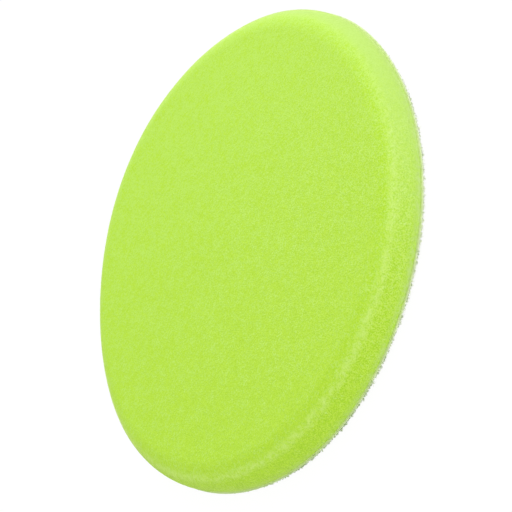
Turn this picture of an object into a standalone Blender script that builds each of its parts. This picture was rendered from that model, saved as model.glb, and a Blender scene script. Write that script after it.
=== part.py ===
"""Round foam polishing pad with a hook-and-loop back, lying on its loop side.

The pad is a stack of four turned discs. From the floor up they are the loop pile, the knitted
ground that carries it, the adhesive film and the foam. +Z points out of the working face, and
the origin is at the centre of the loop side. Lengths are in metres.
"""

from math import cos, pi, radians, sin

import bpy

# Driving dimensions
PAD_DIAMETER = 0.150
PAD_THICKNESS = 0.012  # loops to working face
SHOULDER_RADIUS = 0.0082  # rounding between the working face and the rim
BACK_EDGE_RADIUS = 0.0007  # cut edge of the foam beside the fabric
RIM_TAPER = 0.0003  # the rim leans in by this much from the shoulder down to the back

PILE_HEIGHT = 0.0008
GROUND_THICKNESS = 0.0003
FILM_THICKNESS = 0.0002
LAYER_GAP = 0.0002  # clear space between neighbouring layers

FABRIC_INSET = 0.0004  # the fabric is cut this much smaller than the foam, in radius
FILM_INSET = 0.0010  # the adhesive stops short of the cut edge
PILE_ROUNDING = 0.0003  # the outermost loops lie over, which softens the pile's lower edge

TURN_STEPS = 144
SHOULDER_STEPS = 10
EDGE_STEPS = 3

# Heights of the layers, from the floor up
PILE_TOP = PILE_HEIGHT
GROUND_BOTTOM = PILE_TOP + LAYER_GAP
GROUND_TOP = GROUND_BOTTOM + GROUND_THICKNESS
FILM_BOTTOM = GROUND_TOP + LAYER_GAP
FILM_TOP = FILM_BOTTOM + FILM_THICKNESS
FOAM_BOTTOM = FILM_TOP + LAYER_GAP
FOAM_TOP = PAD_THICKNESS

PAD_RADIUS = PAD_DIAMETER / 2

COLLECTION_NAME = "polishing_pad"


def clear_scene():
    for item in list(bpy.data.objects):
        bpy.data.objects.remove(item, do_unlink=True)


def make_collection(name):
    collection = bpy.data.collections.new(name)
    bpy.context.scene.collection.children.link(collection)
    return collection


def make_material(name, colour, roughness, metallic=0.0):
    material = bpy.data.materials.new(name)
    material.use_nodes = True
    shader = material.node_tree.nodes["Principled BSDF"]
    shader.inputs["Base Color"].default_value = (*colour, 1.0)
    shader.inputs["Roughness"].default_value = roughness
    shader.inputs["Metallic"].default_value = metallic
    material.diffuse_color = (*colour, 1.0)
    return material


def arc(centre_r, centre_z, radius, start_deg, end_deg, steps):
    """Points along a circular arc in the profile plane, both ends included."""
    points = []
    for step in range(steps + 1):
        angle = radians(start_deg + (end_deg - start_deg) * step / steps)
        points.append((centre_r + radius * cos(angle), centre_z + radius * sin(angle)))
    return points


def turned_disc(name, profile, material, collection):
    """A solid of revolution about Z from (radius, height) points, given from the top axis down."""
    mesh = bpy.data.meshes.new(name)
    edges = [(index, index + 1) for index in range(len(profile) - 1)]
    mesh.from_pydata([(radius, 0.0, height) for radius, height in profile], edges, [])
    mesh.materials.append(material)
    disc = bpy.data.objects.new(name, mesh)
    collection.objects.link(disc)

    screw = disc.modifiers.new("turn", "SCREW")
    screw.axis = "Z"
    screw.angle = 2 * pi
    screw.steps = TURN_STEPS
    screw.render_steps = TURN_STEPS
    screw.use_merge_vertices = True
    screw.merge_threshold = 0.00001
    screw.use_smooth_shade = True
    return disc


def foam_profile():
    """Flat face, a quarter-round shoulder, a short leaning rim and a slightly eased back edge."""
    back_radius = PAD_RADIUS - RIM_TAPER
    shoulder = arc(
        PAD_RADIUS - SHOULDER_RADIUS, FOAM_TOP - SHOULDER_RADIUS, SHOULDER_RADIUS, 90, 0, SHOULDER_STEPS
    )
    back_edge = arc(
        back_radius - BACK_EDGE_RADIUS, FOAM_BOTTOM + BACK_EDGE_RADIUS, BACK_EDGE_RADIUS, 0, -90, EDGE_STEPS
    )
    return [(0.0, FOAM_TOP)] + shoulder + back_edge + [(0.0, FOAM_BOTTOM)]


def layer_profile(radius, bottom, top):
    """A plain disc with a square cut edge."""
    return [(0.0, top), (radius, top), (radius, bottom), (0.0, bottom)]


def pile_profile():
    """The pile's envelope: square where it meets the ground, rounded where loops lie on the floor."""
    radius = PAD_RADIUS - FABRIC_INSET
    lower_edge = arc(radius - PILE_ROUNDING, PILE_ROUNDING, PILE_ROUNDING, 0, -90, EDGE_STEPS)
    return [(0.0, PILE_TOP), (radius, PILE_TOP)] + lower_edge + [(0.0, 0.0)]


def build_foam_disc(collection):
    lime_foam = make_material("lime_foam", (0.47, 0.74, 0.09), 0.92)
    turned_disc("foam_disc", foam_profile(), lime_foam, collection)


def build_bond_film(collection):
    clear_adhesive = make_material("clear_adhesive", (0.74, 0.78, 0.52), 0.35)
    profile = layer_profile(PAD_RADIUS - FILM_INSET, FILM_BOTTOM, FILM_TOP)
    turned_disc("bond_film", profile, clear_adhesive, collection)


def build_loop_ground(collection):
    knit_ground = make_material("knit_ground", (0.66, 0.68, 0.62), 0.85)
    profile = layer_profile(PAD_RADIUS - FABRIC_INSET, GROUND_BOTTOM, GROUND_TOP)
    turned_disc("loop_ground", profile, knit_ground, collection)


def build_loop_pile(collection):
    loop_yarn = make_material("loop_yarn", (0.78, 0.80, 0.74), 0.80)
    turned_disc("loop_pile", pile_profile(), loop_yarn, collection)


def main():
    clear_scene()
    collection = make_collection(COLLECTION_NAME)
    build_foam_disc(collection)
    build_bond_film(collection)
    build_loop_ground(collection)
    build_loop_pile(collection)


main()
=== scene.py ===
from itertools import product
from math import cos, pi, radians, sin

import bpy
import numpy as np
from mathutils import Matrix, Vector


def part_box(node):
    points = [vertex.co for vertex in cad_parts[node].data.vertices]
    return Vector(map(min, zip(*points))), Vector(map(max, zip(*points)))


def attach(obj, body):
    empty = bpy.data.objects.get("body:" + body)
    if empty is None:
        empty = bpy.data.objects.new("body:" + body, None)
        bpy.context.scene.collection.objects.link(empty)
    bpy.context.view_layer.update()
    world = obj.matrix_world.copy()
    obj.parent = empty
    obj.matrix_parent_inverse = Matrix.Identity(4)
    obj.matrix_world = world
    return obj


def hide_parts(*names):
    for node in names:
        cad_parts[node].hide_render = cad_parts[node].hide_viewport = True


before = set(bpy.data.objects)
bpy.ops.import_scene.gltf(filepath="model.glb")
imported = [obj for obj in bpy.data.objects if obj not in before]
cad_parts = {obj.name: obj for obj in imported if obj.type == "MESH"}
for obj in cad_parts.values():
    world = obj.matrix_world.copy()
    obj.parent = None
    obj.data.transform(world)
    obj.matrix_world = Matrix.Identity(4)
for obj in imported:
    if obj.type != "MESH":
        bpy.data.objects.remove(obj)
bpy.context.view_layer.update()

foamLow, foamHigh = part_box("foam_disc")
padRadius = (foamHigh.x - foamLow.x) / 2
padTop = foamHigh.z
padCentre = Vector((0.0, 0.0, padTop / 2))


def smoothStep(low, high, value):
    # 0 below low, 1 above high, and an S-shaped ease between them
    part = np.clip((value - low) / (high - low), 0, 1)
    return part * part * (3 - 2 * part)


def softNoise(points, pitch, seed):
    # random heights at the corners of a cubic lattice, eased from corner to corner, from -1 to 1
    side = 64
    heights = np.random.default_rng(seed).uniform(-1, 1, (side, side, side))
    scaled = points / pitch
    low = np.floor(scaled).astype(int)
    ease = smoothStep(0, 1, scaled - low)
    total = np.zeros(len(points))
    for corner in product((0, 1), repeat=3):
        weight = np.prod(np.where(corner, ease, 1 - ease), axis=1)
        place = (low + corner) % side
        total += weight * heights[place[:, 0], place[:, 1], place[:, 2]]
    return total


def nearestCell(points, pitch, seed):
    # distance to the nearest cell centre, in pitches: one centre is thrown into each cube of a lattice
    side = 48
    throws = np.random.default_rng(seed).random((side, side, side, 3))
    scaled = points / pitch
    low = np.floor(scaled).astype(int)
    nearest = np.full(len(points), 9.0)
    for step in product((-1, 0, 1), repeat=3):
        cube = low + step
        place = cube % side
        centre = cube + throws[place[:, 0], place[:, 1], place[:, 2]]
        nearest = np.minimum(nearest, np.linalg.norm(scaled - centre, axis=1))
    return nearest


cut = {
    # slow waves round the edge: how many, how high, and the angle of a crest in degrees
    "lobes": ((4, 0.00030, -14), (5, 0.00028, 7)),
}


def outOfRound(points):
    # the cut edge isn't quite round: slow waves push each point out or in along its radius, fading
    # with the square of the way in to the axis
    angle = np.arctan2(points[:, 1], points[:, 0])
    share = np.sum(points[:, :2] ** 2, axis=1) / padRadius ** 2
    push = sum(height * np.cos(count * (angle - radians(place)))
               for count, height, place in cut["lobes"])
    radial = np.column_stack([np.cos(angle), np.sin(angle), np.zeros(len(points))])
    return points + radial * (push * share)[:, None]


def makePiece(name, points, faces):
    # faces is a list of arrays, each with one face's corners in a row
    mesh = bpy.data.meshes.new(name)
    sizes = np.concatenate([np.full(len(group), group.shape[1]) for group in faces])
    corners = np.concatenate([group.ravel() for group in faces])
    mesh.vertices.add(len(points))
    mesh.vertices.foreach_set("co", points.astype(np.float32).ravel())
    mesh.loops.add(len(corners))
    mesh.loops.foreach_set("vertex_index", corners.astype(np.int32))
    mesh.polygons.add(len(sizes))
    starts = np.concatenate([[0], np.cumsum(sizes)[:-1]])
    mesh.polygons.foreach_set("loop_start", starts.astype(np.int32))
    mesh.polygons.foreach_set("use_smooth", np.full(len(sizes), True))
    mesh.update(calc_edges=True)
    mesh.validate()
    piece = bpy.data.objects.new(name, mesh)
    bpy.context.scene.collection.objects.link(piece)
    return piece


def discGrid(cells):
    # a square grid eased into a unit disc: each square ring becomes a circle of the ring's half width,
    # and the way along a side of the square becomes the angle round the circle
    line = np.linspace(-1, 1, cells + 1)
    across, up = np.meshgrid(line, line)
    wide = np.abs(across) >= np.abs(up)
    reach = np.where(wide, across, up)
    aside = np.where(wide, up, across)
    turn = pi / 4 * np.divide(aside, reach, out=np.zeros_like(reach), where=reach != 0)
    angle = np.where(wide, turn, pi / 2 - turn)
    return np.stack([reach * np.cos(angle), reach * np.sin(angle)], axis=-1).reshape(-1, 2)


def gridFaces(cells):
    # a quad between each four neighbours of the square grid
    corner = np.arange(cells)[:, None] * (cells + 1) + np.arange(cells)
    quads = np.stack([corner, corner + 1, corner + cells + 2, corner + cells + 1], axis=-1)
    return quads.reshape(-1, 4)


def gridEdge(cells):
    # the square's border, counter-clockwise from its lower right corner
    place = np.arange((cells + 1) ** 2).reshape(cells + 1, cells + 1)
    return np.concatenate([place[:-1, -1], place[-1, :0:-1], place[:0:-1, 0], place[0, :-1]])


def ringFaces(rows):
    # quads between neighbouring rows of indices, each row a closed ring
    upper, lower = rows[:-1], rows[1:]
    quads = np.stack([lower, np.roll(lower, -1, 1), np.roll(upper, -1, 1), upper], axis=-1)
    return quads.reshape(-1, 4)


def arcPoints(centre, radius, startTurn, endTurn, spacing):
    # an arc as rows of radius and height: the centre plus the radius times the cosine and sine of
    # the turn, which are also the direction that each point faces
    steps = max(3, int(abs(endTurn - startTurn) * radius / spacing))
    turn = np.linspace(startTurn, endTurn, steps + 1)
    facing = np.stack([np.cos(turn), np.sin(turn)], axis=1)
    return np.array(centre) + radius * facing, facing


def turnedBody(name, cells, faceRadius, top, profile, facing, relief, flatBack):
    # a flat disc grid for the face and a profile carried round the axis for the side; the back is
    # a second disc grid, or a fan to one centre point where it is never seen. relief gives each
    # point's height along its own outward direction
    around = 4 * cells
    angle = -pi / 4 + np.arange(around) * 2 * pi / around
    ring = np.stack([np.cos(angle), np.sin(angle)], axis=1)
    disc = discGrid(cells)
    backRadius, low = profile[-1]
    sideRows = profile[1:-1] if flatBack else profile[1:]
    sideFacing = facing[1:-1] if flatBack else facing[1:]
    face = np.column_stack([disc * faceRadius, np.full(len(disc), top)])
    back = np.array([[0, 0, low]])
    if flatBack:
        back = np.column_stack([disc * backRadius, np.full(len(disc), low)])
    side, out = [np.concatenate([rows[:, None, :1] * ring, np.repeat(rows[:, None, 1:], around, 1)],
                                axis=2) for rows in (sideRows, sideFacing)]
    points = np.concatenate([face, side.reshape(-1, 3), back])
    outward = np.concatenate([np.tile([0, 0, 1.0], (len(face), 1)), out.reshape(-1, 3),
                              np.tile([0, 0, -1.0], (len(back), 1))])
    points = outOfRound(points + outward * relief(points, outward)[:, None])
    backStart = len(face) + len(sideRows) * around
    sideIndex = np.arange(len(face), backStart).reshape(-1, around)
    rows = np.concatenate([gridEdge(cells)[None], sideIndex])
    if flatBack:
        rows = np.concatenate([rows, gridEdge(cells)[None] + backStart])
        closing = gridFaces(cells)[:, ::-1] + backStart
    else:
        middle = np.full(around, backStart)
        closing = np.stack([middle, np.roll(rows[-1], -1), rows[-1]], axis=1)
    return makePiece(name, points, [gridFaces(cells), ringFaces(rows), closing])


class Wire:
    # a socket's value, so that sums and products of wires add Math nodes
    def __init__(self, recipe, socket):
        self.recipe = recipe
        self.socket = socket

    def maths(self, operation, first, second):
        return self.recipe.node("ShaderNodeMath", {"operation": operation}, [first, second])

    def __add__(self, other):
        return self.maths("ADD", self, other)

    def __radd__(self, other):
        return self.maths("ADD", other, self)

    def __sub__(self, other):
        return self.maths("SUBTRACT", self, other)

    def __rsub__(self, other):
        return self.maths("SUBTRACT", other, self)

    def __mul__(self, other):
        return self.maths("MULTIPLY", self, other)

    def __rmul__(self, other):
        return self.maths("MULTIPLY", other, self)


class Recipe:
    # a material being built: node() adds any node, with its settings first and then the values or
    # links of its sockets
    def __init__(self, name):
        self.material = bpy.data.materials.new(name)
        self.material.use_nodes = True
        self.tree = self.material.node_tree
        self.tree.nodes.clear()

    def node(self, kind, settings=None, sockets=None, output=0):
        made = self.tree.nodes.new(kind)
        for key, value in (settings or {}).items():
            setattr(made, key, value)
        pairs = sockets.items() if isinstance(sockets, dict) else enumerate(sockets or [])
        for key, value in pairs:
            if isinstance(value, Wire):
                self.tree.links.new(value.socket, made.inputs[key])
            else:
                made.inputs[key].default_value = value
        return Wire(self, made.outputs[output]) if made.outputs else None

    def place(self):
        return self.node("ShaderNodeTexCoord", output="Object")

    def along(self, axis):
        # how far out a point is along x or y, in pad radii
        return self.node("ShaderNodeSeparateXYZ", {}, [self.place()], axis) * (1 / padRadius)

    def noise(self, size, detail=2.0, roughness=0.5):
        return self.node("ShaderNodeTexNoise", {}, {
            "Vector": self.place(), "Scale": 1 / size, "Detail": detail, "Roughness": roughness})

    def cells(self, size, feature="F1", vector=None):
        # the distance to the nearest cell centre, or to the nearest wall between cells
        return self.node("ShaderNodeTexVoronoi", {"feature": feature}, {
            "Vector": vector or self.place(), "Scale": 1 / size}, "Distance")

    def ease(self, value, low, high, toLow=0.0, toHigh=1.0):
        # toLow up to low, toHigh from high on, and an S-shaped ease between them
        return self.node("ShaderNodeMapRange", {"interpolation_type": "SMOOTHSTEP"}, {
            "Value": value, "From Min": low, "From Max": high, "To Min": toLow, "To Max": toHigh})

    def blend(self, share, first, second):
        first = first if isinstance(first, Wire) else (*first, 1.0)
        second = second if isinstance(second, Wire) else (*second, 1.0)
        return self.node("ShaderNodeMix", {"data_type": "RGBA"}, {0: share, 6: first, 7: second}, 2)

    def bump(self, height, strength, depth):
        return self.node("ShaderNodeBump", {}, {
            "Strength": strength, "Distance": depth, "Height": height})

    def finish(self, sockets):
        shader = self.node("ShaderNodeBsdfPrincipled", {}, sockets)
        self.node("ShaderNodeOutputMaterial", {}, {"Surface": shader})
        return self.material


foam = {
    "bottom": 0.0015,  # the cut edge of the foam meets the fabric here
    "shoulderRadius": 0.0082,
    "backEdgeRadius": 0.0002,
    "lean": 0.0003,  # the rim leans in towards the back
    "faceCells": 400,
    "spacing": 0.0003,
    "undersideRows": 8,
    "rim": (0.95, 0.985),  # of the radius, where the rim's finish starts and is full
    "porePitch": 0.0009,
    "poreDepth": 0.00005,
    "poreReach": (0.1, 0.55),  # in pitches, where a pore's floor ends and where its slope does
    "rimPores": 2.2,  # the cut rim's pits are this much deeper than the face's
    "grainPitch": 0.0006,
    "grainHeight": 0.00003,
    "swellPitch": 0.016,
    "swellHeight": 0.00006,
    "seeds": (11, 12, 13),  # of the pits, the grain and the swell
    # the paint. two numbers are where an ease starts and ends, and four also what it gives there
    "lime": (0.545, 0.855, 0.112),
    "deep": (0.379, 0.694, 0.008),
    # the colour of the painted glints and of the crest's painted highlight
    "pale": (0.655, 0.900, 0.225),
    # the colour of the band's painted light and of the rim's painted highlight
    "paleLight": (0.545, 0.765, 0.225),
    "acid": (0.508, 0.815, 0.006),
    "sheen": (0.90, 1.0, 0.45),
    "cellSize": 0.00040,
    "fleckSize": 0.00096,
    "walls": (0.12, 0.62),  # in cells out from a cell's centre, where its wall starts and is full
    "middles": (0.6, 0.5, 0.5),  # of the walls, the grain and the flecks
    "weights": (0.7, 2.0, 0.8),
    "finerWay": (0.4, 0.9),  # in x and y, the way along which the grain weakens
    "coarseness": (-0.9, 0.9, 1.45, 0.5),
    "rimCoarseness": (-0.2, 1.0, 1.1, -0.32),  # added on the rim, by x
    "rimDips": ((-1.0, 0.0, 0.35, 0.0), (0.5, 1.0, 0.0, 0.3)),  # the rim darkens at both ends of x: painted shade at the low end
    "tones": (-1.3, 1.3),  # the reliefs that are all deep and all lime
    "patchSizes": (0.0007, 0.0028),
    "patchShares": (0.6, 0.3),
    "patches": (0.37, 0.53),
    "rimPatches": 0.03,  # the rim is this much yellower
    "patchDrift": (0.045, 0.035),  # painted light: the foam is this much less yellow a radius along x and y, paler on the lit side and yellower in the shade
    # painted glints on the relief's heights, more of them towards the high end of x
    "glints": (0.0, 1.4, 0.0, 0.45),
    "glintsByX": (-1.0, 0.8, 0.3, 1.2),
    # patches that break up the crest's painted highlight and the band's painted light
    "patchyLightSize": 0.0016,
    "patchyLight": (0.35, 0.65, 0.25, 1.6),
    "crestDepths": (0.0006, 0.0020, 0.0040),  # below the face: the crest's painted highlight starts, peaks and ends
    "crestShare": 0.34,
    # the crest's painted highlight weakens towards the high end of x and grows towards the high end of
    # y
    "crestByX": (0.4, 1.0, 1.0, 0.35),
    "crestByY": (0.2, 0.9, 1.0, 2.6),
    "hazeByX": (-0.1, 1.0, 0.0, 0.50),  # painted highlight: the rim is painted paler towards the high end of x
    "bandHeights": (0.0048, 0.0016),  # where the pale band of painted light by the fabric starts and is full
    "bondCalm": 0.45,  # the band's grain is this much weaker
    # the band's painted light grows towards the high end of x
    "bandLightByX": (-1.0, 0.4, 0.24, 0.6),
    "roughness": (-0.6, 0.6, 0.85, 0.65),
    "bump": (0.35, 0.0002),  # strength and depth
}


def foamSide():
    # the side's outline from the face down: a quarter-round shoulder, a leaning rim, a small
    # quarter-round at the back edge, and the underside in to near the axis
    shoulder = foam["shoulderRadius"]
    edge = foam["backEdgeRadius"]
    backRadius = padRadius - foam["lean"]
    spacing = foam["spacing"]
    top, topFacing = arcPoints((padRadius - shoulder, padTop - shoulder), shoulder, pi / 2, 0, spacing)
    back, backFacing = arcPoints((backRadius - edge, foam["bottom"] + edge), edge, 0, -pi / 2, spacing)
    steps = int((top[-1, 1] - back[0, 1]) / spacing)
    part = np.linspace(0, 1, steps + 1)[1:-1, None]
    rim = top[-1] * (1 - part) + back[0] * part
    rimFacing = np.tile([1.0, 0.0], (len(rim), 1))
    inward = np.linspace(back[-1, 0], 0, foam["undersideRows"] + 1)[1:-1]
    under = np.column_stack([inward, np.full(len(inward), foam["bottom"])])
    underFacing = np.tile([0.0, -1.0], (len(under), 1))
    return (np.concatenate([top, rim, back, under]),
            np.concatenate([topFacing, rimFacing, backFacing, underFacing]))


def foamRelief(points, outward):
    # shallow pits at the cell centres, deeper on the rim, a fine grain and a slow swell, faded out
    # on the underside
    pitSeed, grainSeed, swellSeed = foam["seeds"]
    onRim = smoothStep(*foam["rim"], np.linalg.norm(points[:, :2], axis=1) / padRadius)
    depth = foam["poreDepth"] * (1 + (foam["rimPores"] - 1) * onRim)
    centres = nearestCell(points, foam["porePitch"], pitSeed)
    pits = -depth * (1 - smoothStep(*foam["poreReach"], centres))
    grain = foam["grainHeight"] * softNoise(points, foam["grainPitch"], grainSeed)
    swell = foam["swellHeight"] * softNoise(points, foam["swellPitch"], swellSeed)
    return (pits + grain + swell) * smoothStep(-1.0, -0.5, outward[:, 2])


def foamMaterial():
    # the relief is the weighted sum of the cell walls, a grain and wider flecks, each less its
    # middle. it is stronger towards the low end of y and on the rim, but for the rim's high end of
    # x, and on the rim it is lowered at both ends of x, as painted shade at the low end. it goes
    # from the deep colour in the pits, partly the foam's own grain and partly painted shade, to the
    # lime, which turns acid in patches, painted yellower towards the shaded low ends of x and y. its
    # heights get painted pale glints. the shoulder's crest gets a patchy painted highlight, the band
    # by the fabric a patchy pale band of painted light, and the whole rim a painted highlight
    # towards the high end of x
    mix = Recipe("lime_foam")
    flat = mix.node("ShaderNodeVectorMath", {"operation": "MULTIPLY"}, [mix.place(), (1, 1, 0)])
    radius = mix.node("ShaderNodeVectorMath", {"operation": "LENGTH"}, [flat], "Value")
    level = mix.node("ShaderNodeSeparateXYZ", {}, [mix.place()], "Z")
    across = mix.along("X")
    beyond = mix.along("Y")
    onRim = mix.ease(radius, *[share * padRadius for share in foam["rim"]])
    nearFabric = mix.ease(level, *foam["bandHeights"])
    start, peak, end = [padTop - depth for depth in foam["crestDepths"]]
    # a patchy mask over the crest's painted highlight and the band's painted light
    patchyLight = mix.ease(mix.noise(foam["patchyLightSize"], detail=3.0, roughness=0.6), *foam["patchyLight"])
    # painted highlight along the shoulder's crest
    crest = mix.ease(level, start, peak) * mix.ease(level, end, peak) * patchyLight
    crest = crest * mix.ease(across, *foam["crestByX"]) * mix.ease(beyond, *foam["crestByY"])

    walls = mix.ease(mix.cells(foam["cellSize"]), *foam["walls"])
    grain = mix.noise(foam["cellSize"])
    flecks = mix.noise(foam["fleckSize"], detail=3.0, roughness=0.6)
    wayX, wayY = foam["finerWay"]
    coarse = 1 + onRim * mix.ease(across, *foam["rimCoarseness"])
    coarse = coarse * (1 - nearFabric * foam["bondCalm"])
    coarse = coarse * mix.ease(beyond * wayY + across * wayX, *foam["coarseness"])
    parts = zip((walls, grain, flecks), foam["middles"], foam["weights"])
    relief = sum((part - middle) * weight for part, middle, weight in parts)
    # painted shade: the rim's relief is lowered towards the low end of x, and also at the high end
    lowDip, highDip = [mix.ease(across, *dip) for dip in foam["rimDips"]]
    relief = relief * coarse - onRim * (lowDip + highDip)

    small, wide = [mix.noise(size) * share
                   for size, share in zip(foam["patchSizes"], foam["patchShares"])]
    byX, byY = foam["patchDrift"]
    patches = small + wide + onRim * foam["rimPatches"]
    # painted light: the tint drifts paler towards the high ends of x and y and yellower towards the
    # shaded low ends
    patches = patches - across * (1 + onRim) * byX - beyond * byY
    tint = mix.blend(mix.ease(patches, *foam["patches"]), foam["lime"], foam["acid"])
    # the pits and low grain are painted deep: partly the foam's own grain, partly painted shade
    colour = mix.blend(mix.ease(relief, *foam["tones"]), foam["deep"], tint)
    # painted glints: the relief's heights are painted pale, more towards the high end of x
    glints = mix.ease(relief, *foam["glints"]) * mix.ease(across, *foam["glintsByX"])
    colour = mix.blend(glints, colour, foam["pale"])
    # the crest's painted highlight
    colour = mix.blend(crest * foam["crestShare"], colour, foam["pale"])
    # painted highlight: the rim is painted paler towards the high end of x
    colour = mix.blend(onRim * mix.ease(across, *foam["hazeByX"]), colour, foam["paleLight"])
    # painted light: a pale band by the fabric, stronger towards the high end of x
    band = nearFabric * patchyLight * mix.ease(across, *foam["bandLightByX"])
    colour = mix.blend(band, colour, foam["paleLight"])
    return mix.finish({
        "Base Color": colour,
        "Roughness": mix.ease(relief, *foam["roughness"]),
        "Specular IOR Level": 0.7,
        "Sheen Weight": 0.55,
        "Sheen Roughness": 0.3,
        "Sheen Tint": (*foam["sheen"], 1.0),
        "Normal": mix.bump(relief, *foam["bump"]),
    })


def makeFoam():
    profile, facing = foamSide()
    faceRadius = padRadius - foam["shoulderRadius"]
    disc = turnedBody("foam_pad", foam["faceCells"], faceRadius, padTop, profile, facing,
                      foamRelief, False)
    disc.data.materials.append(foamMaterial())
    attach(disc, "root")
    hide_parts("foam_disc")
    print("foam disc:", len(disc.data.polygons), "faces")
    return disc


film = {
    "top": 0.00149,
    "bottom": 0.00135,
    "inset": 0.0001,
    "cells": 60,
    "wander": 0.0001,  # the melted edge runs in and out by this much
    "wanderPitch": 0.004,
    "seed": 21,
    "holeSize": 0.0016,
    "strandWidth": 0.12,  # in holes
    "strand": (0.76, 0.88, 0.41),
    "hole": (0.63, 0.78, 0.27),
    "roughness": (0.28, 0.5),  # of the strands and the holes
}


def filmRelief(points, outward):
    # the melted edge wanders in and out, and the faces stay flat
    wave = softNoise(points, film["wanderPitch"], film["seed"])
    return film["wander"] * wave * (1 - np.abs(outward[:, 2]))


def filmMaterial():
    # melted strands run along the walls between cells, paler, glossier and prouder than the holes
    mix = Recipe("melted_adhesive")
    holes = mix.cells(film["holeSize"], "DISTANCE_TO_EDGE")
    holes = mix.ease(holes, 0.0, film["strandWidth"])
    return mix.finish({
        "Base Color": mix.blend(holes, film["strand"], film["hole"]),
        "Roughness": mix.ease(holes, 0.0, 1.0, *film["roughness"]),
        "Normal": mix.bump(1 - holes, strength=0.4, depth=0.0001),
    })


def makeFilm():
    radius = padRadius - film["inset"]
    half = (film["top"] - film["bottom"]) / 2
    side, facing = arcPoints((radius - half, film["top"] - half), half, pi / 2, -pi / 2, half)
    disc = turnedBody("bond_web", film["cells"], radius - half, film["top"], side, facing,
                      filmRelief, True)
    disc.data.materials.append(filmMaterial())
    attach(disc, "root")
    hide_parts("bond_film")
    print("adhesive film:", len(disc.data.polygons), "faces")
    return disc


knit = {
    "top": 0.00135,
    "bottom": 0.00095,
    "overhang": 0.0002,  # past the foam's cut edge
    "cells": 200,
    "walePitch": 0.0015,
    "coursePitch": 0.0013,
    "ribHeight": 0.00005,
    "ribShares": (0.7, 0.3),  # of the wales and the courses
    "stitchShare": 0.6,
    "lintSize": 0.0003,
    "lintShare": 0.7,
    "dimByX": (-1.0, 0.0, -0.25, 0.0),  # painted shade: darker towards the low end of x, as an ease
    "tones": (0.2, 1.1),
    "shade": (0.53, 0.70, 0.27),
    "thread": (0.84, 0.95, 0.56),
}


def knitRelief(points, outward):
    # rounded ribs along the wales, crossed by the courses, on the two faces
    waleShare, courseShare = knit["ribShares"]
    wale = np.cos(points[:, 0] * 2 * pi / knit["walePitch"])
    course = np.cos(points[:, 1] * 2 * pi / knit["coursePitch"])
    ribs = waleShare * wale + courseShare * course - 1
    return knit["ribHeight"] * ribs * np.abs(outward[:, 2])


def knitMaterial():
    # a cell to each wale and course, paler at its middle, with lint over it, from shade to thread
    mix = Recipe("knit_ground")
    pitches = (1 / knit["walePitch"], 1 / knit["coursePitch"], 1 / knit["walePitch"])
    stretch = mix.node("ShaderNodeVectorMath", {"operation": "MULTIPLY"}, [mix.place(), pitches])
    stitches = mix.cells(1.0, "SMOOTH_F1", stretch)
    lint = mix.noise(knit["lintSize"], detail=4.0, roughness=0.7)
    tone = (1 - stitches) * knit["stitchShare"] + lint * knit["lintShare"]
    # painted shade: darker towards the low end of x
    tone = tone + mix.ease(mix.along("X"), *knit["dimByX"])
    return mix.finish({
        "Base Color": mix.blend(mix.ease(tone, *knit["tones"]), knit["shade"], knit["thread"]),
        "Roughness": 0.85,
        "Sheen Weight": 0.3,
        "Normal": mix.bump(tone, strength=0.5, depth=0.00025),
    })


def makeKnit():
    radius = padRadius + knit["overhang"]
    half = (knit["top"] - knit["bottom"]) / 2
    side, facing = arcPoints((radius - half, knit["top"] - half), half, pi / 2, -pi / 2, half / 2)
    disc = turnedBody("knit_sheet", knit["cells"], radius - half, knit["top"], side, facing,
                      knitRelief, True)
    disc.data.materials.append(knitMaterial())
    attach(disc, "root")
    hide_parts("loop_ground")
    print("knitted ground:", len(disc.data.polygons), "faces")
    return disc


pile = {
    "seed": 31,
    "root": 0.00100,
    "tip": 0.00002,  # the lowest that a loop reaches
    "yarn": 0.00008,  # the yarn's radius
    "walePitch": 0.0015,
    "coursePitch": 0.0013,
    "edge": 0.0008,  # the field of loops stops this far inside the cut edge
    "stray": 0.22,  # in courses, how far a root may stand from its place in the knit
    "width": (0.0008, 0.0013),
    "height": (0.0007, 0.0009),
    "lean": 25,  # degrees, at most
}

fringe = {
    "seed": 32,
    "tufts": 460,
    "stray": 0.25,  # in tufts, how far one may stand from its place round the edge
    "loops": 8,  # in each tuft
    "halfWidth": 0.0004,  # how far a loop's root strays from its tuft's middle
    "inset": (0.0001, 0.0009),
    "root": (0.0009, 0.0014),
    "yarn": 0.00007,
    "width": (0.0003, 0.0007),
    "height": (0.0005, 0.0010),
    "splay": (15, 75),  # degrees out from straight down
    "gather": 0.45,  # how far the loops lean in to their tuft's middle
    "scatter": 0.2,  # and how far they lean by chance
    "size": (0.7, 1.15),  # of the tuft
    "combed": 0.6,  # at both ends of the x axis the edge's yarn is this much shorter
    "combedFrom": 0.7,  # it starts to shorten where the angle's cosine is this
}

fuzz = {
    "seed": 33,
    "count": 3600,
    "scatter": 0.8,  # how far a fibre leans round the edge
    "bend": 0.6,
    "inset": (0.0001, 0.0007),
    "root": (0.0006, 0.0014),
    "length": (0.0003, 0.0008),
    "splay": (40, 100),
    "yarn": 0.00003,
    "slant": (0.3, 0.2, 0.9),  # any way that few fibres stand along, to turn their sections by
}

thread = {
    "sides": 3,
    "loopSteps": 6,
    "endSteps": 4,
    "swell": 0.35,  # halfway up, a loop is this much wider than at its feet
    "bluntness": 0.8,  # the power of the sine that a loop rises by: less than 1 makes it blunter
    "lintSize": 0.0004,
    "lintShare": 0.6,
    "patchSize": 0.0009,
    "patchShare": 0.4,
    "dimByX": (-1.0, 0.2, -0.16, 0.03),  # painted shade: darker towards the low end of x, as an ease
    "tones": (0.38, 0.62),
    "shade": (0.42, 0.56, 0.24),
    "light": (0.94, 1.00, 0.74),
}


def unit(vectors):
    return vectors / np.linalg.norm(vectors, axis=-1, keepdims=True)


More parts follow.
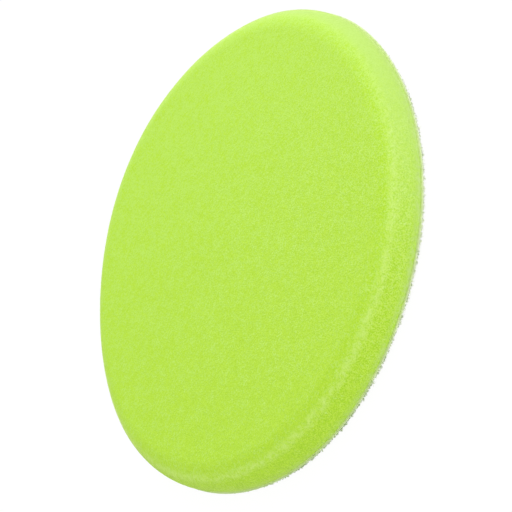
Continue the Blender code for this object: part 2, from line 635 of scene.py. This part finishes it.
def yarnTubes(name, paths, binormal, thickness):
    # a thin tube along each path: its section turns from the path's own normal to the binormal,
    # and both ends are capped. paths is tubes x points x 3
    sides = thread["sides"]
    tubes, steps = paths.shape[:2]
    tangent = unit(np.gradient(paths, axis=1))
    binormal = np.repeat(binormal[:, None], steps, 1)
    normal = unit(np.cross(binormal, tangent))
    turn = np.arange(sides) * 2 * pi / sides
    section = normal[:, :, None] * np.cos(turn)[:, None] + binormal[:, :, None] * np.sin(turn)[:, None]
    points = paths[:, :, None] + section * thickness
    place = np.arange(tubes * steps * sides).reshape(tubes, steps, sides)
    beside = np.roll(place, -1, 2)
    walls = np.stack([place[:, :-1], beside[:, :-1], beside[:, 1:], place[:, 1:]], axis=-1)
    caps = np.concatenate([place[:, 0, ::-1], place[:, -1]])
    return makePiece(name, outOfRound(points.reshape(-1, 3)), [walls.reshape(-1, 4), caps])


def loopPaths(root, across, stand, width, height):
    # each loop leaves its root, swells out a little wider than its feet, turns over at its height
    # and comes back: a half turn of cosine across and of sine along the way it stands
    part = np.linspace(0, 1, thread["loopSteps"] + 1)[None, :, None]
    swell = 1 + thread["swell"] * np.sin(pi * part)
    out = -np.cos(pi * part) * swell * width[:, None, None] / 2
    up = np.sin(pi * part) ** thread["bluntness"] * height[:, None, None]
    return root[:, None] + across[:, None] * out + stand[:, None] * up


def endPaths(root, stand, bend, length):
    # a loose fibre end: straight out of the edge, then bending away with the square of the way along
    part = np.linspace(0, 1, thread["endSteps"] + 1)[None, :, None]
    way = stand[:, None] * part + bend[:, None] * part * part
    return root[:, None] + way * length[:, None, None]


def spread(chance, limits, shape):
    return chance.uniform(*limits, shape)


def stray(chance, reach, shape):
    # by up to reach either way
    return chance.uniform(-reach, reach, shape)


def standing(splay, away):
    # a direction that leaves straight down by the splay angle, towards away
    splay = np.radians(splay)[:, None]
    return np.sin(splay) * away - np.cos(splay) * np.array([0, 0, 1.0])


def roundTheEdge(angle):
    # at each angle, the direction out from the axis and the one round it
    flat = np.zeros(len(angle))
    return (np.column_stack([np.cos(angle), np.sin(angle), flat]),
            np.column_stack([-np.sin(angle), np.cos(angle), flat]))


def combed(angle):
    # 1 round most of the edge, and less where the angle comes near either end of the x axis
    near = smoothStep(fringe["combedFrom"], 1.0, np.abs(np.cos(angle)))
    return 1 - fringe["combed"] * near


def yarnMaterial():
    # lint and wider patches, from shade to light
    mix = Recipe("loop_yarn")
    lint = mix.noise(thread["lintSize"], detail=3.0, roughness=0.65)
    patch = mix.noise(thread["patchSize"])
    tone = lint * thread["lintShare"] + patch * thread["patchShare"]
    # painted shade: darker towards the low end of x
    tone = tone + mix.ease(mix.along("X"), *thread["dimByX"])
    return mix.finish({
        "Base Color": mix.blend(mix.ease(tone, *thread["tones"]), thread["shade"], thread["light"]),
        "Roughness": 0.7,
        "Sheen Weight": 0.4,
        "Normal": mix.bump(lint, strength=0.4, depth=0.00005),
    })


def finishYarn(piece, material):
    piece.data.materials.append(material)
    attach(piece, "root")
    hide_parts("loop_pile")
    print(piece.name, len(piece.data.polygons), "faces")
    return piece


def makeField(material):
    # rows of loops along the wales, every other one shifted half a course, in two pieces
    chance = np.random.default_rng(pile["seed"])
    reach = padRadius - pile["edge"]
    waleReach = int(reach / pile["walePitch"])
    courseReach = int(reach / pile["coursePitch"])
    wales = np.arange(-waleReach, waleReach + 1)
    courses = np.arange(-courseReach - 1, courseReach + 1)
    wale, course = [grid.ravel() for grid in np.meshgrid(wales, courses)]
    shifted = course + 0.5 * (wale % 2)
    spot = np.column_stack([wale * pile["walePitch"], shifted * pile["coursePitch"]])
    spot = spot + stray(chance, pile["stray"], spot.shape) * pile["coursePitch"]
    inside = np.linalg.norm(spot, axis=1) < reach
    spot, wale = spot[inside], wale[inside]
    count = len(spot)
    heading = chance.uniform(0, 2 * pi, count)
    away = np.column_stack([np.cos(heading), np.sin(heading), np.zeros(count)])
    stand = standing(chance.uniform(0, pile["lean"], count), away)
    facing = chance.uniform(0, 2 * pi, count)
    across = np.column_stack([np.cos(facing), np.sin(facing), np.zeros(count)])
    across = unit(across - stand * np.sum(across * stand, axis=1, keepdims=True))
    root = np.column_stack([spot, np.full(count, pile["root"])])
    paths = loopPaths(root, across, stand, spread(chance, pile["width"], count),
                      spread(chance, pile["height"], count))
    paths[:, :, 2] = np.maximum(paths[:, :, 2], pile["tip"] + pile["yarn"])
    sideways = np.cross(across, stand)
    made = []
    for name, rows in (("pile_even_rows", wale % 2 == 0), ("pile_odd_rows", wale % 2 == 1)):
        loops = yarnTubes(name, paths[rows], sideways[rows], pile["yarn"])
        made.append(finishYarn(loops, material))
    return made


def makeTufts(material):
    # loops that splay out round the cut edge: each tuft's loops start beside each other and lean in
    # to its middle, so that it comes to a blunt point
    chance = np.random.default_rng(fringe["seed"])
    tufts = fringe["tufts"]
    count = tufts * fringe["loops"]
    middle = (np.arange(tufts) + stray(chance, fringe["stray"], tufts)) * 2 * pi / tufts
    size = np.repeat(spread(chance, fringe["size"], tufts), fringe["loops"])
    beside = stray(chance, 1, count)
    angle = np.repeat(middle, fringe["loops"]) + beside * fringe["halfWidth"] / padRadius
    radial, aside = roundTheEdge(angle)
    inward = fringe["gather"] * beside + stray(chance, fringe["scatter"], count)
    away = unit(radial - aside * inward[:, None])
    stand = standing(spread(chance, fringe["splay"], count), away)
    reach = padRadius - spread(chance, fringe["inset"], count)
    root = radial * reach[:, None] + [0, 0, 1] * spread(chance, fringe["root"], count)[:, None]
    turned = radial * stray(chance, 1, (count, 1)) + [0, 0, 1.0]  # each loop's plane turns by chance
    across = unit(np.cross(stand, turned))
    paths = loopPaths(root, across, stand, spread(chance, fringe["width"], count),
                      spread(chance, fringe["height"], count) * size * combed(angle))
    paths[:, :, 2] = np.maximum(paths[:, :, 2], pile["tip"] + fringe["yarn"])
    loops = yarnTubes("pile_edge_loops", paths, np.cross(across, stand), fringe["yarn"])
    return finishYarn(loops, material)


def makeFuzz(material):
    # loose fibre ends that stand out of the cut edge every way
    chance = np.random.default_rng(fuzz["seed"])
    count = fuzz["count"]
    angle = (np.arange(count) + stray(chance, 0.5, count)) * 2 * pi / count
    radial, aside = roundTheEdge(angle)
    away = unit(radial + aside * stray(chance, fuzz["scatter"], (count, 1)))
    stand = standing(spread(chance, fuzz["splay"], count), away)
    reach = padRadius - spread(chance, fuzz["inset"], count)
    root = radial * reach[:, None] + [0, 0, 1] * spread(chance, fuzz["root"], count)[:, None]
    paths = endPaths(root, stand, stray(chance, fuzz["bend"], (count, 3)),
                     spread(chance, fuzz["length"], count) * combed(angle))
    paths[:, :, 2] = np.maximum(paths[:, :, 2], pile["tip"] + fuzz["yarn"])
    sideways = unit(np.cross(stand, fuzz["slant"]))
    ends = yarnTubes("pile_edge_fibres", paths, sideways, fuzz["yarn"])
    return finishYarn(ends, material)


studio = {
    "lift": 35.6,  # degrees from the pad's face plane up to the camera
    "roll": 74.6,  # degrees that the pad's axis leans left of upright in the view
    "distance": 15.0,  # in pad radii
    "focal": 260.0,
    "farthest": 20,  # that the camera sees
    "aside": 0.00176,  # the pad's centre stands left of the view's middle, as a share of distance
    "above": 0.00205,
    "sky": 1.0,
    "lamps": {  # direction to the view's right, up and the camera; distance, size and power
        "key": ((0.533, 0.369, 0.761), 1.0, 0.7, 1.3),
        "top": ((-0.091, 0.965, 0.246), 0.5, 0.35, 0.42),
        "edge": ((-0.433, 0.635, -0.639), 1.0, 0.7, 3.4),
    },
    "floorShade": 0.08,
    "floorGlow": 0.93,
    "floorRadius": 6.0,
    "floorCells": 8,
    "floorDrop": 0.0001,  # the floor lies this far under the yarn
}


def cameraAxes():
    lift, roll = radians(studio["lift"]), radians(studio["roll"])
    back = Vector((0, -cos(lift), sin(lift)))
    levelRight = Vector((1, 0, 0))
    levelUp = Vector((0, sin(lift), cos(lift)))
    right = levelRight * cos(roll) - levelUp * sin(roll)
    up = levelRight * sin(roll) + levelUp * cos(roll)
    return right, up, back


def placeAlong(item, right, up, back, where):
    turn = Matrix((right, up, back)).transposed().to_4x4()
    item.matrix_world = Matrix.Translation(where) @ turn


def makeCamera():
    right, up, back = cameraAxes()
    distance = studio["distance"] * padRadius
    lens = bpy.data.cameras.new("camera")
    lens.lens = studio["focal"]
    lens.clip_end = studio["farthest"]
    camera = bpy.data.objects.new("camera", lens)
    bpy.context.scene.collection.objects.link(camera)
    where = padCentre + back * distance
    where = where + right * distance * studio["aside"] - up * distance * studio["above"]
    placeAlong(camera, right, up, back, where)
    bpy.context.scene.camera = camera


def makeLamps():
    right, up, back = cameraAxes()
    for name, (place, distance, size, power) in studio["lamps"].items():
        aside, above, towards = place
        facing = (right * aside + up * above + back * towards).normalized()
        lamp = bpy.data.lights.new(name, "AREA")
        lamp.shape = "DISK"
        lamp.size = size
        lamp.energy = power
        holder = bpy.data.objects.new(name, lamp)
        bpy.context.scene.collection.objects.link(holder)
        holder.location = padCentre + facing * distance
        holder.rotation_euler = facing.to_track_quat("Z", "Y").to_euler()


def makeSky():
    world = bpy.data.worlds.new("studio")
    world.use_nodes = True
    bpy.context.scene.world = world
    background = world.node_tree.nodes["Background"]
    background.inputs["Color"].default_value = (1, 1, 1, 1)
    background.inputs["Strength"].default_value = studio["sky"]
    world.cycles_visibility.glossy = False


def makeFloor():
    # a pale disc that glows a little, and is clear from below
    mix = Recipe("pale_floor")
    paint = mix.node("ShaderNodeBsdfDiffuse", {}, {"Color": (*[studio["floorShade"]] * 3, 1)})
    glow = mix.node("ShaderNodeEmission", {}, {
        "Color": (1, 1, 1, 1), "Strength": studio["floorGlow"]})
    lit = mix.node("ShaderNodeAddShader", {}, [paint, glow])
    clear = mix.node("ShaderNodeBsdfTransparent")
    below = mix.node("ShaderNodeNewGeometry", output="Backfacing")
    both = mix.node("ShaderNodeMixShader", {}, [below, lit, clear])
    mix.node("ShaderNodeOutputMaterial", {}, {"Surface": both})
    disc = discGrid(studio["floorCells"]) * studio["floorRadius"]
    points = np.column_stack([disc, np.full(len(disc), -studio["floorDrop"])])
    floor = makePiece("floor", points, [gridFaces(studio["floorCells"])])
    floor.data.materials.append(mix.material)
    floor.visible_glossy = False


makeCamera()
makeSky()
makeLamps()
makeFloor()
bpy.context.scene.view_settings.view_transform = "Standard"
print("camera, light and floor are in place")

foamDisc = makeFoam()
bondWeb = makeFilm()
knitSheet = makeKnit()
yarn = yarnMaterial()
loops = makeField(yarn) + [makeTufts(yarn), makeFuzz(yarn)]
